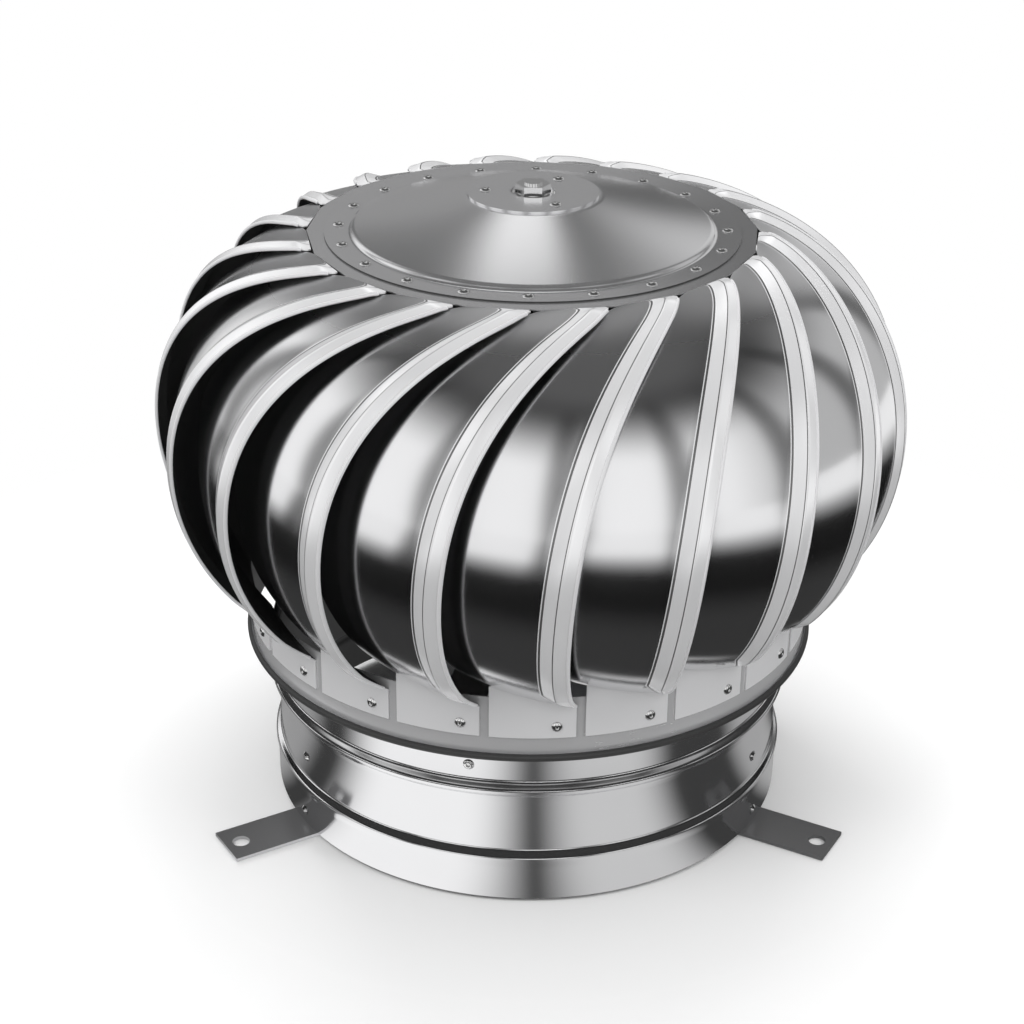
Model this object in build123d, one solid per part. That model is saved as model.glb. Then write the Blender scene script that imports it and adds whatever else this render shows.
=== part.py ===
from build123d import *
from math import acos, atan2, cos, degrees, hypot, pi, radians, sin
import os

os.makedirs("parts", exist_ok=True)

# Roof turbine ventilator for a 300 mm duct.
#
# A fixed throat carries a dead shaft on two three-armed spiders.  A rotor of twenty
# lipped vanes turns on that shaft: the wind drives it and it draws air up the throat.
#
# Frame: millimetres, +Z up.  The origin is on the shaft's axis, level with the undersides
# of the three feet, so the ventilator stands on the plane Z = 0.

# ---------------------------------------------------------------- driving dimensions
# Throat: the fixed tube that stands in or on the duct
THROAT_R = 150.0            # outside of the tube
THROAT_TOP = 96.0           # height of its upper edge
SHEET = 0.8                 # stainless sheet of the throat, collar, band and crown
BEAD_HEIGHT = 3.6           # how far a stiffening bead stands out
BEAD_WIDTH = 9.0            # along the axis
LOWER_BEAD_Z = 28.0         # middle of the throat's own bead
SKIRT_STEP = 2.4            # the tube is wider by this much below that bead
# Collar: the band riveted round the throat's top, with a bead near its foot
COLLAR_RISE = 5.0           # how far it stands above the throat's edge
COLLAR_HEIGHT = 36.0
COLLAR_BEAD_UP = 8.0        # middle of the bead, above the collar's foot
COLLAR_LIP = 2.4            # outward lip round its top edge
# Legs: three bent straps, riveted inside the throat
LEG_COUNT = 3
LEG_AZ = -148.5             # direction of the first leg, degrees
STRAP = 2.0                 # strap thickness
STRAP_WIDTH = 30.0
LEG_HEIGHT = 58.0
FOOT_OUT = 53.0             # how far a foot reaches beyond the throat
FOOT_HOLE_R = 5.0
FOOT_HOLE_EDGE = 9.5        # hole centre back from the foot's end
LEG_RIVET_LOW = 9.5
LEG_RIVET_HIGH = 46.0
# Spiders: pressings with flat arms that hold the shaft in the throat, or the rotor's bearing
ARM_WIDTH = 24.0
ARM_THICK = 3.0
HUB_R = 24.0                # the round middle of a fixed spider
SPIDER_FLANGE = 20.0        # height of an arm's turned-down end
RIVET_DROP = 11.0           # rivet below the top of its spider
UPPER_SPIDER_RISE = 2.0     # top of the upper spider above the throat's edge
UPPER_SPIDER_AZ = -102.0    # direction of its first arm, degrees
ROTOR_ARMS = 4
# Rotor band and its rolled bottom bead
BAND_GAP = 13.2             # clear space between the throat and the band
BAND_LIFT = 2.0             # middle of the rolled bead above the collar
BAND_HEIGHT = 36.0          # from the middle of the bead to the upper edge
BAND_RIVET_UP = 19.0        # rivets above the middle of the bead
CURL_R = 2.2                # outside radius of the rolled bead
CURL_SIDES = 8              # flats that stand for its round section
# Vanes
VANE_COUNT = 20
VANE_SHEET = 0.8
FIRST_FOOT_AZ = -98.8       # where the first vane's lip meets the band, degrees
TAB_DROP = 7.0              # lower edge of a tab, below its rivet
FOLD_UP = 11.0              # where the lip leaves the band, above the rivets
FOLD_RISE = 14.0            # the fold climbs by this much to the inner edge
EQUATOR_UP = 101.0          # widest part of the globe above that fold
GLOBE_HEIGHT = 209.7        # from that fold to the crown's rim
GLOBE_BULGE = 46.2          # globe radius beyond the vane tabs
INNER_BULGE = 27.0          # the same, along a vane's hidden inner edge
LOWER_SWEEP = 54.0          # share of its ellipse that a vane's lower half follows, degrees
OUTER_FULLNESS = 2.1        # shape of the upper half: 2 is an ellipse, more is squarer
INNER_FULLNESS = 2.0
TIP_INSET = 17.7            # how far the upper ellipse starts inside the tip
FOOT_SLOT = 1.8             # open angle between neighbouring lower tabs, degrees
TIP_SLOT = 0.7              # the same at the upper tabs
VANE_LAP = 8.0              # extra width half way up, behind the next lip, degrees
LAP_GROWTH = 0.5            # under 1, the lap grows fast from the fold and from the tip
SWEEP = 29.5                # how far the lip leads from foot to tip, degrees
BACK_BOW = 3.6              # how far it falls back on the way, degrees
LIP_WIDTH = 15.0
LIP_HEIGHT = 3.4            # its crest above the sheet
LIP_CREST = 0.44            # crest's place across the lip, from its edge
LIP_START = 0.08            # share of the vane's length over which the lip grows
LIP_END = 0.06              # and over which its ridge sinks again at the tip
LIP_FOOT = 0.3              # share of its width that it has at the fold
TAB_FACETS = 3              # flats across a vane
SECTIONS = 13               # cross-sections from fold to tip
CROSS_BOW = 4.0             # outward bow of a vane across its width
# Crown: the pressed cover that the vanes hang from
CROWN_R = 115.0
RIM_WIDTH = 14.0            # flat rim that takes the vane rivets
RIM_STEP = 2.4              # step up from the rim to the cone
STEP_RUN = 1.6
CONE_RISE = 17.4            # from the top of the step to the flat middle
MIDDLE_MARGIN = 2.0         # flat middle beyond the cap disc
TIP_GAP = 9.7               # vane tip, outside the crown's edge
TAB_REACH = 17.0            # how far an upper tab reaches in under the crown
TAB_RIVET_INSET = 7.6       # its rivet, inside the crown's edge
CAP_R = 36.3
CAP_THICK = 1.2
CAP_HOLE_R = 12.5
# Rivets (blind, stainless)
RIVET_HEAD_R = 3.2
RIVET_HEAD_H = 1.3
RIVET_FLAT_R = 1.8          # flat top of the head
RIVET_SHANK_R = 1.6
RIVET_TAIL = 1.0            # shank left showing on the blind side
TAB_RIVET_SETBACK = 3.6     # rivet behind the lip's corner of a tab, degrees
CAP_RIVETS = 3
CAP_RIVET_INSET = 10.1      # inside the cap disc's edge
CAP_RIVET_AZ = 177.6
HOUSING_RIVETS = 4
# Shaft, bearings and their housings
JOURNAL_R = 6.0
SHAFT_R = 8.0               # between the two bearings
THREAD_R = 5.0
SHAFT_TAIL = 12.0           # shaft left below the lowest nut
THREAD_END = 1.0            # and above the top nut
BEARING_R = 16.0
BEARING_WIDTH = 10.0
RACE = 3.2                  # radial thickness of a bearing's inner ring
RUNNING_GAP = 0.05
SHIELD_RECESS = 0.6
HOUSING_WALL = 3.0
HOUSING_LIP = 3.0           # inward lip that the bearing stands on
FLANGE_THICK = 2.0
UPPER_FLANGE_EDGE = 7.8     # flange beyond the cap rivets
LOWER_FLANGE_WIDTH = 10.0   # flange beyond the housing's wall
LOWER_BEARING_LIFT = 3.0    # bearing above the rotor spider's plate
NUT_FLATS = 19.0            # across flats, spider nuts
NUT_H = 6.0
TOP_NUT_FLATS = 17.0
TOP_NUT_H = 5.0
WASHER_R = 9.0
WASHER_H = 1.5
SLEEVE_WALL = 2.5

# ---------------------------------------------------------------- sizes that follow
BORE_R = THROAT_R - SHEET                       # inside of the throat
SKIRT_R = THROAT_R + SKIRT_STEP                 # outside of its skirt
LEG_IN = BORE_R - STRAP                         # inside of a leg
FOOT_REACH = THROAT_R + FOOT_OUT                # end of a foot, from the axis
COLLAR_R = THROAT_R + SHEET
COLLAR_TOP = THROAT_TOP + COLLAR_RISE
COLLAR_FOOT = COLLAR_TOP - COLLAR_HEIGHT
COLLAR_BEAD_Z = COLLAR_FOOT + COLLAR_BEAD_UP
BAND_IN = THROAT_R + BAND_GAP
BAND_R = BAND_IN + SHEET                        # outside of the rotor band
BAND_BOTTOM = COLLAR_TOP + BAND_LIFT
BAND_TOP = BAND_BOTTOM + BAND_HEIGHT
BAND_RIVET_Z = BAND_BOTTOM + BAND_RIVET_UP
LOWER_SPIDER_TOP = LEG_RIVET_HIGH + RIVET_DROP
UPPER_SPIDER_TOP = THROAT_TOP + UPPER_SPIDER_RISE
UPPER_RIVET_Z = UPPER_SPIDER_TOP - RIVET_DROP
ROTOR_SPIDER_TOP = BAND_RIVET_Z + RIVET_DROP
PITCH = 360.0 / VANE_COUNT
TAB_FOOT_ANGLE = PITCH - FOOT_SLOT
TAB_TIP_ANGLE = PITCH - TIP_SLOT
TAB_R = (BAND_R + VANE_SHEET) / cos(radians(TAB_FOOT_ANGLE / TAB_FACETS / 2))
TAB_BOTTOM = BAND_RIVET_Z - TAB_DROP
FOLD_Z = BAND_RIVET_Z + FOLD_UP
EQUATOR_Z = FOLD_Z + EQUATOR_UP
CROWN_Z = FOLD_Z + GLOBE_HEIGHT                 # top of the crown's flat rim
TIP_R = CROWN_R + TIP_GAP
TIP_Z = CROWN_Z - SHEET                         # tabs lie against the crown's underside
TAB_RIVET_R = CROWN_R - TAB_RIVET_INSET
CROWN_MID_Z = CROWN_Z + RIM_STEP + CONE_RISE    # top of the crown's flat middle
CROWN_UNDER_Z = CROWN_MID_Z - SHEET
CAP_TOP = CROWN_MID_Z + CAP_THICK
CAP_RIVET_R = CAP_R - CAP_RIVET_INSET
UPPER_BEARING_TOP = CROWN_UNDER_Z
UPPER_BEARING_Z = UPPER_BEARING_TOP - BEARING_WIDTH
LOWER_BEARING_Z = ROTOR_SPIDER_TOP + LOWER_BEARING_LIFT
LOWER_BEARING_TOP = LOWER_BEARING_Z + BEARING_WIDTH
HOUSING_R = BEARING_R + HOUSING_WALL
UPPER_FLANGE_R = CAP_RIVET_R + UPPER_FLANGE_EDGE
LOWER_FLANGE_R = HOUSING_R + LOWER_FLANGE_WIDTH
HOUSING_RIVET_R = (HOUSING_R + LOWER_FLANGE_R) / 2
SEAT_LIP_R = BEARING_R - HOUSING_LIP
FIRST_TIP_AZ = FIRST_FOOT_AZ + SWEEP
ROTOR_ARM_AZ = FIRST_FOOT_AZ - TAB_RIVET_SETBACK
TIP_RIVET_AZ = FIRST_TIP_AZ - TAB_RIVET_SETBACK
SHAFT_FOOT = LOWER_SPIDER_TOP - ARM_THICK - NUT_H - SHAFT_TAIL
SHAFT_TOP = UPPER_BEARING_TOP + WASHER_H + TOP_NUT_H + THREAD_END
LEG_AZIMUTHS = [LEG_AZ + 360.0 * i / LEG_COUNT for i in range(LEG_COUNT)]
UPPER_ARM_AZIMUTHS = [UPPER_SPIDER_AZ + 360.0 * i / LEG_COUNT for i in range(LEG_COUNT)]
CAP_RIVET_AZIMUTHS = [CAP_RIVET_AZ + 360.0 * i / CAP_RIVETS for i in range(CAP_RIVETS)]
HOUSING_RIVET_AZIMUTHS = [
    ROTOR_ARM_AZ + 360.0 * (i + 0.5) / HOUSING_RIVETS for i in range(HOUSING_RIVETS)
]


# ---------------------------------------------------------------- helpers
def save(node, solids):
    """Write one named sub-part; several solids of one node go in one compound."""
    shape = Compound(children=solids) if isinstance(solids, list) else solids
    export_step(shape, f"parts/{node}.step")


def turned(points):
    """Revolve a closed outline of (radius, height) points about the shaft's axis."""
    outline = Polyline(*[(r, 0, z) for r, z in points], close=True)
    return revolve(make_face(outline), axis=Axis.Z, revolution_arc=360)


def ring(inner, outer, bottom, top):
    return turned([(inner, bottom), (outer, bottom), (outer, top), (inner, top)])


def around(shape, angle):
    return Rot(0, 0, angle) * shape


def bar(length_from, length_to, width, bottom, top):
    """A flat strap along +X."""
    return Pos((length_from + length_to) / 2, 0, (bottom + top) / 2) * Box(
        length_to - length_from, width, top - bottom
    )


def upright(radius, bottom, top, x=0.0):
    """A round bar or hole parallel to the shaft."""
    return Pos(x, 0, (bottom + top) / 2) * Cylinder(radius, top - bottom)


def rivet(grip):
    """A blind rivet along +Z: its head stands on Z = 0 and its shank fills the grip."""
    half = [
        (0, -grip - RIVET_TAIL),
        (RIVET_SHANK_R, -grip - RIVET_TAIL),
        (RIVET_SHANK_R, 0),
        (RIVET_HEAD_R, 0),
        (RIVET_FLAT_R, RIVET_HEAD_H),
        (0, RIVET_HEAD_H),
    ]
    return turned(half)


def radial(shape, radius, azimuth, height):
    """Stand a shape made along +Z on a vertical wall, pointing outward."""
    return Rot(0, 0, azimuth) * Pos(radius, 0, height) * Rot(0, 90, 0) * shape


def wall_hole(azimuth, height, reach_in, reach_out):
    drill = Cylinder(RIVET_SHANK_R, reach_out - reach_in)
    return radial(drill, (reach_in + reach_out) / 2, azimuth, height)


def bead(radius, middle, step=0.0):
    """Corners of a pressed stiffening bead, walked upward; the wall may be wider below it."""
    half, crest = BEAD_WIDTH / 2, BEAD_WIDTH / 6
    return [
        (radius + step, middle - half),
        (radius + BEAD_HEIGHT, middle - crest),
        (radius + BEAD_HEIGHT, middle + crest),
        (radius, middle + half),
    ]


def sheet_wall(points):
    """Turn a wall of one sheet; points walk its outer side with the shaft to their left."""
    spans = [(b[0] - a[0], b[1] - a[1]) for a, b in zip(points, points[1:])]
    normals = [(-dz / hypot(dr, dz), dr / hypot(dr, dz)) for dr, dz in spans]
    inside = []
    for (r, z), (r0, z0), (r1, z1) in zip(points, normals[:1] + normals, normals + normals[-1:]):
        mitre = SHEET / (1 + r0 * r1 + z0 * z1)
        inside.append((r + (r0 + r1) * mitre, z + (z0 + z1) * mitre))
    return turned(points + inside[::-1])


# ---------------------------------------------------------------- the fixed body
def throat_tube():
    """Rolled tube with one bead and a slightly wider skirt below it."""
    wall = [(SKIRT_R, STRAP)] + bead(THROAT_R, LOWER_BEAD_Z, SKIRT_STEP)
    tube = sheet_wall(wall + [(THROAT_R, THROAT_TOP)])
    for azimuth in LEG_AZIMUTHS:
        tube -= wall_hole(azimuth, LEG_RIVET_LOW, BORE_R - STRAP, SKIRT_R + SHEET)
        tube -= wall_hole(azimuth, LEG_RIVET_HIGH, BORE_R - STRAP, SKIRT_R + SHEET)
    for azimuth in UPPER_ARM_AZIMUTHS:
        tube -= wall_hole(azimuth, UPPER_RIVET_Z, BORE_R - STRAP, SKIRT_R + SHEET)
    return tube


def collar_band():
    """Band round the top of the throat: a bead near its foot, a lip round its top."""
    wall = [(COLLAR_R, COLLAR_FOOT)] + bead(COLLAR_R, COLLAR_BEAD_Z)
    wall += [(COLLAR_R, COLLAR_TOP - COLLAR_LIP), (COLLAR_R + COLLAR_LIP, COLLAR_TOP)]
    band = sheet_wall(wall)
    for azimuth in UPPER_ARM_AZIMUTHS:
        band -= wall_hole(azimuth, UPPER_RIVET_Z, BORE_R, COLLAR_R + BEAD_HEIGHT)
    return band


def leg():
    """One strap: up inside the throat, bent out under its edge, flat foot with a hole."""
    skirt_in = LEG_IN + SKIRT_STEP
    step_low, step_high = LOWER_BEAD_Z - BEAD_WIDTH / 2, LOWER_BEAD_Z + BEAD_WIDTH / 2
    strip = turned(
        [
            (skirt_in + STRAP, 0),
            (FOOT_REACH + STRAP_WIDTH, 0),
            (FOOT_REACH + STRAP_WIDTH, STRAP),
            (skirt_in + STRAP, STRAP),
            (skirt_in + STRAP, step_low),
            (BORE_R, step_high),
            (BORE_R, LEG_HEIGHT),
            (LEG_IN, LEG_HEIGHT),
            (LEG_IN, step_high),
            (skirt_in, step_low),
            (skirt_in, STRAP),
        ]
    )
    strap = strip & bar(0, FOOT_REACH, STRAP_WIDTH, -STRAP, LEG_HEIGHT + STRAP)
    strap -= upright(FOOT_HOLE_R, -STRAP, 2 * STRAP, FOOT_REACH - FOOT_HOLE_EDGE)
    for height in (LEG_RIVET_LOW, LEG_RIVET_HIGH):
        strap -= wall_hole(0, height, LEG_IN - STRAP, SKIRT_R)
    return strap


def spider(top, reach, arms, hub_r, hub_hole):
    """Flat arms from a round hub, each with its end turned down against a round wall."""
    bottom, foot = top - ARM_THICK, top - SPIDER_FLANGE
    flange = ring(reach - ARM_THICK, reach, foot, top)
    disc = upright(reach, bottom, top)
    arm = disc & bar(0, reach, ARM_WIDTH, bottom, top)
    end = flange & bar(0, reach, ARM_WIDTH, foot, top)
    hole = wall_hole(0, top - RIVET_DROP, reach - 2 * ARM_THICK, reach + ARM_THICK)
    plate = upright(hub_r, bottom, top)
    for i in range(arms):
        plate += around(arm + end - hole, 360.0 * i / arms)
    return plate - upright(hub_hole, bottom - ARM_THICK, top + ARM_THICK)


def shaft():
    """Dead shaft: two journals, a thicker middle that keeps the bearings apart, threads."""
    thread_z = UPPER_BEARING_TOP - SHIELD_RECESS
    return turned(
        [
            (0, SHAFT_FOOT),
            (JOURNAL_R, SHAFT_FOOT),
            (JOURNAL_R, LOWER_BEARING_TOP),
            (SHAFT_R, LOWER_BEARING_TOP),
            (SHAFT_R, UPPER_BEARING_Z),
            (JOURNAL_R, UPPER_BEARING_Z),
            (JOURNAL_R, thread_z),
            (THREAD_R, thread_z),
            (THREAD_R, SHAFT_TOP),
            (0, SHAFT_TOP),
        ]
    )


def hex_nut(flats, bore, bottom, height):
    blank = extrude(RegularPolygon(flats / 2, 6, major_radius=False), height)
    return Pos(0, 0, bottom) * (blank - upright(bore, -height, 2 * height))


def spider_nuts():
    """Two nuts clamp each spider to the shaft, one below it and one above."""
    bottoms = []
    for top in (LOWER_SPIDER_TOP, UPPER_SPIDER_TOP):
        bottoms += [top - ARM_THICK - NUT_H, top]
    return [hex_nut(NUT_FLATS, JOURNAL_R, z, NUT_H) for z in bottoms]


def bearing_sleeve():
    """Stands on the upper spider's nut and carries the lower bearing's inner ring."""
    foot = UPPER_SPIDER_TOP + NUT_H
    return ring(JOURNAL_R, JOURNAL_R + SLEEVE_WALL, foot, LOWER_BEARING_Z)


# ---------------------------------------------------------------- bearings
def inner_ring(bottom):
    return ring(JOURNAL_R, JOURNAL_R + RACE, bottom, bottom + BEARING_WIDTH)


def outer_ring(bottom):
    """Outer ring with its two shields, which stand just back from its faces."""
    inside = JOURNAL_R + RACE + RUNNING_GAP
    land = BEARING_R - RACE
    top = bottom + BEARING_WIDTH
    return turned(
        [
            (land, bottom),
            (BEARING_R, bottom),
            (BEARING_R, top),
            (land, top),
            (land, top - SHIELD_RECESS),
            (inside, top - SHIELD_RECESS),
            (inside, bottom + SHIELD_RECESS),
            (land, bottom + SHIELD_RECESS),
        ]
    )


def upper_bearing_housing():
    """Cup hung under the crown by a flange; the bearing stands on its inward lip."""
    top, lip = CROWN_UNDER_Z, UPPER_BEARING_Z - FLANGE_THICK
    cup = turned(
        [
            (SEAT_LIP_R, lip),
            (HOUSING_R, lip),
            (HOUSING_R, top - FLANGE_THICK),
            (UPPER_FLANGE_R, top - FLANGE_THICK),
            (UPPER_FLANGE_R, top),
            (BEARING_R, top),
            (BEARING_R, UPPER_BEARING_Z),
            (SEAT_LIP_R, UPPER_BEARING_Z),
        ]
    )
    return cup - cap_rivet_holes()


def lower_bearing_housing():
    """Cup riveted to the rotor's spider, open upward for the lower bearing."""
    foot = ROTOR_SPIDER_TOP
    cup = turned(
        [
            (SEAT_LIP_R, foot),
            (LOWER_FLANGE_R, foot),
            (LOWER_FLANGE_R, foot + FLANGE_THICK),
            (HOUSING_R, foot + FLANGE_THICK),
            (HOUSING_R, LOWER_BEARING_TOP),
            (BEARING_R, LOWER_BEARING_TOP),
            (BEARING_R, LOWER_BEARING_Z),
            (SEAT_LIP_R, LOWER_BEARING_Z),
        ]
    )
    return cup - housing_rivet_holes()


def housing_rivet_holes():
    low, high = ROTOR_SPIDER_TOP - 2 * ARM_THICK, ROTOR_SPIDER_TOP + 2 * FLANGE_THICK
    drill = upright(RIVET_SHANK_R, low, high, HOUSING_RIVET_R)
    return [around(drill, azimuth) for azimuth in HOUSING_RIVET_AZIMUTHS]


def rotor_spider():
    """Spider of the rotor; its hub carries the lower bearing's housing."""
    plate = spider(ROTOR_SPIDER_TOP, BAND_IN, ROTOR_ARMS, LOWER_FLANGE_R, SEAT_LIP_R)
    return around(plate, ROTOR_ARM_AZ) - housing_rivet_holes()


# ---------------------------------------------------------------- the rotor's shell
def rotor_band():
    """Band that the vanes' lower tabs are riveted to, its bottom edge rolled outward."""
    middle, inner_r = BAND_IN + CURL_R, CURL_R - SHEET
    curl = []
    for i in range(CURL_SIDES // 4 * 3 + 1):
        t = radians(90.0 - 360.0 * i / CURL_SIDES)
        curl.append((middle + inner_r * cos(t), BAND_BOTTOM + inner_r * sin(t)))
    band = sheet_wall(curl + [(BAND_R, BAND_TOP)])
    for i in range(VANE_COUNT):
        azimuth = ROTOR_ARM_AZ + i * PITCH
        band -= wall_hole(azimuth, BAND_RIVET_Z, BAND_IN - ARM_THICK, TAB_R + SHEET)
    return band


def crown():
    """Pressed cover: flat rim, small step, shallow cone, flat middle round the shaft."""
    step_r = CROWN_R - RIM_WIDTH
    wall = [
        (CROWN_R, CROWN_Z),
        (step_r, CROWN_Z),
        (step_r - STEP_RUN, CROWN_Z + RIM_STEP),
        (CAP_R + MIDDLE_MARGIN, CROWN_MID_Z),
        (SEAT_LIP_R, CROWN_MID_Z),
    ]
    cover = sheet_wall(wall)
    drill = upright(RIVET_SHANK_R, CROWN_Z - 2 * SHEET, CROWN_Z + SHEET, TAB_RIVET_R)
    for i in range(VANE_COUNT):
        cover -= around(drill, TIP_RIVET_AZ + i * PITCH)
    return cover - cap_rivet_holes()


def cap_rivet_holes():
    """Drills for the rivets that hold cap disc, crown and upper housing together."""
    drill = upright(RIVET_SHANK_R, UPPER_BEARING_Z, CAP_TOP + CAP_THICK, CAP_RIVET_R)
    return [around(drill, azimuth) for azimuth in CAP_RIVET_AZIMUTHS]


def cap_disc():
    """Plain disc over the crown's middle, open round the shaft's nut."""
    return ring(CAP_HOLE_R, CAP_R, CROWN_MID_Z, CAP_TOP) - cap_rivet_holes()


# ---------------------------------------------------------------- the twisted vanes
def meridian(bulge, fold_z, fullness):
    """Upright outline of the globe, from fold to tip, as (radius, height) points.

    The lower part is an ellipse that leaves the band at the fold and reaches the
    equator upright; the upper part is a fuller ellipse that runs in to the tip.
    """
    steps, widest, sweep = 60, TAB_R + bulge, radians(LOWER_SWEEP)
    a, b = bulge / (1 - cos(sweep)), (EQUATOR_Z - fold_z) / sin(sweep)
    points = []
    for i in range(steps):
        t = sweep * (1 - i / steps)
        points.append((widest - a * (1 - cos(t)), EQUATOR_Z - b * sin(t)))
    centre = TIP_R - TIP_INSET
    tip_t = acos((TIP_INSET / (widest - centre)) ** (fullness / 2))
    rise = (TIP_Z - EQUATOR_Z) / sin(tip_t) ** (2 / fullness)
    for i in range(steps + 1):
        t = tip_t * i / steps
        r = centre + (widest - centre) * cos(t) ** (2 / fullness)
        points.append((r, EQUATOR_Z + rise * sin(t) ** (2 / fullness)))
    return points


def along(points, u):
    """Point at the share u of an outline's length."""
    lengths = [0.0]
    for (r0, z0), (r1, z1) in zip(points, points[1:]):
        lengths.append(lengths[-1] + hypot(r1 - r0, z1 - z0))
    goal = u * lengths[-1]
    for i in range(1, len(points)):
        if goal <= lengths[i] + 1e-9:
            share = (goal - lengths[i - 1]) / (lengths[i] - lengths[i - 1])
            (r0, z0), (r1, z1) = points[i - 1], points[i]
            return r0 + share * (r1 - r0), z0 + share * (z1 - z0)
    return points[-1]


OUTER_EDGE = meridian(GLOBE_BULGE, FOLD_Z, OUTER_FULLNESS)
INNER_EDGE = meridian(INNER_BULGE, FOLD_Z + FOLD_RISE, INNER_FULLNESS)


def lip_azimuth(u):
    """The lip falls back a little, then sweeps forward to its tip."""
    return FIRST_FOOT_AZ + SWEEP * u**4 - BACK_BOW * (1 - (2 * u - 1) ** 4)


def vane_angle(u):
    """Angle between a vane's two long edges."""
    tab = TAB_FOOT_ANGLE + (TAB_TIP_ANGLE - TAB_FOOT_ANGLE) * u
    return tab + VANE_LAP * max(0.0, sin(pi * u)) ** LAP_GROWTH


def polar(r, azimuth, z):
    return Vector(r * cos(radians(azimuth)), r * sin(radians(azimuth)), z)


def vane_frame(u):
    """Inner edge, outer edge and outward normal of the cross-section at u."""
    r_out, z_out = along(OUTER_EDGE, u)
    r_in, z_in = along(INNER_EDGE, u)
    lip, angle = lip_azimuth(u), vane_angle(u)
    edge_in = polar(r_in, lip - angle, z_in)
    edge_out = polar(r_out, lip, z_out)
    ahead, behind = along(OUTER_EDGE, min(u + 0.01, 1)), along(OUTER_EDGE, max(u - 0.01, 0))
    tilt = degrees(atan2(behind[0] - ahead[0], ahead[1] - behind[1]))
    if u in (0, 1):
        tilt = 90.0 * u
    middle = lip - angle / 2
    outward = polar(cos(radians(tilt)), middle, sin(radians(tilt)))
    chord = (edge_out - edge_in).normalized()
    return edge_in, edge_out, (outward - chord * outward.dot(chord)).normalized()


def vane_section(u):
    """Corners of the vane's cross-section at u: a bowed sheet that ends in a ridged lip."""
    edge_in, edge_out, normal = vane_frame(u)
    width = (edge_out - edge_in).length
    chord = (edge_out - edge_in).normalized()
    grown = min(1.0, u / LIP_START)
    lip_width = LIP_WIDTH * (LIP_FOOT + (1 - LIP_FOOT) * grown)
    lip_height = LIP_HEIGHT * min(grown, (1 - u) / LIP_END)
    sheet = width - lip_width
    facet = width / (2 * sin(radians(TAB_FOOT_ANGLE / 2)))
    tab_bow = facet * (1 - cos(radians(TAB_FOOT_ANGLE / 2))) * (1 - u)
    bow = tab_bow + CROSS_BOW * sin(pi * u)

    def rise(x):
        return bow * 4 * x * (width - x) / width**2

    stops = [sheet * i / TAB_FACETS for i in range(TAB_FACETS + 1)]
    profile = [(x, rise(x)) for x in stops]
    crest = width - lip_width * LIP_CREST
    profile.append((crest, rise(crest) + lip_height))
    profile.append((width, lip_height / 2))
    outer = [edge_in + chord * x + normal * v for x, v in profile]
    return outer + [p - normal * VANE_SHEET for p in reversed(outer)]


def vane():
    """One vane: lower tab, twisted blade and upper tab in one piece of sheet."""
    stations = [i / (SECTIONS - 1) for i in range(SECTIONS)]
    stations.insert(-1, 1 - LIP_END)
    fold = vane_section(0)
    sections = [[Vector(p.X, p.Y, TAB_BOTTOM) for p in fold], fold]
    sections += [vane_section(u) for u in stations[1:]]
    blade = Solid.make_loft([Wire.make_polygon(s, close=True) for s in sections], ruled=True)
    tip = [polar(TIP_R, FIRST_TIP_AZ - TAB_TIP_ANGLE, TIP_Z), polar(TIP_R, FIRST_TIP_AZ, TIP_Z)]
    rim_r = CROWN_R - TAB_REACH
    inner = [polar(rim_r, FIRST_TIP_AZ, TIP_Z), polar(rim_r, FIRST_TIP_AZ - TAB_TIP_ANGLE, TIP_Z)]
    tab = extrude(make_face(Polyline(*tip, *inner, close=True)), amount=VANE_SHEET, dir=(0, 0, -1))
    whole = blade + tab
    whole -= wall_hole(ROTOR_ARM_AZ, BAND_RIVET_Z, BAND_IN, TAB_R + RIVET_HEAD_R)
    drill = upright(RIVET_SHANK_R, TIP_Z - 2 * VANE_SHEET, TIP_Z + VANE_SHEET, TAB_RIVET_R)
    return whole - around(drill, TIP_RIVET_AZ)


# ---------------------------------------------------------------- rivets
def leg_rivets():
    """Two in each leg; the upper one also holds an arm of the lower spider."""
    grip = SHEET + STRAP
    made = []
    for azimuth in LEG_AZIMUTHS:
        made.append(radial(rivet(grip), SKIRT_R, azimuth, LEG_RIVET_LOW))
        made.append(radial(rivet(grip + ARM_THICK), THROAT_R, azimuth, LEG_RIVET_HIGH))
    return made


def collar_rivets():
    wall = THROAT_R + SHEET
    body = rivet(2 * SHEET + ARM_THICK)
    return [radial(body, wall, azimuth, UPPER_RIVET_Z) for azimuth in UPPER_ARM_AZIMUTHS]


def band_rivets():
    """Twenty rivets, one in each lower tab; every fifth also holds an arm of the spider."""
    made = []
    for i in range(VANE_COUNT):
        on_arm = (i * ROTOR_ARMS) % VANE_COUNT == 0
        grip = TAB_R - BAND_IN + (ARM_THICK if on_arm else 0)
        made.append(radial(rivet(grip), TAB_R, ROTOR_ARM_AZ + i * PITCH, BAND_RIVET_Z))
    return made


def crown_rivets():
    body = Pos(TAB_RIVET_R, 0, CROWN_Z) * rivet(SHEET + VANE_SHEET)
    return [around(body, TIP_RIVET_AZ + i * PITCH) for i in range(VANE_COUNT)]


def cap_rivets():
    body = Pos(CAP_RIVET_R, 0, CAP_TOP) * rivet(CAP_TOP - CROWN_UNDER_Z + FLANGE_THICK)
    return [around(body, azimuth) for azimuth in CAP_RIVET_AZIMUTHS]


def housing_rivets():
    body = rivet(FLANGE_THICK + ARM_THICK)
    seat = Pos(HOUSING_RIVET_R, 0, ROTOR_SPIDER_TOP + FLANGE_THICK) * body
    return [around(seat, azimuth) for azimuth in HOUSING_RIVET_AZIMUTHS]


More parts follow.
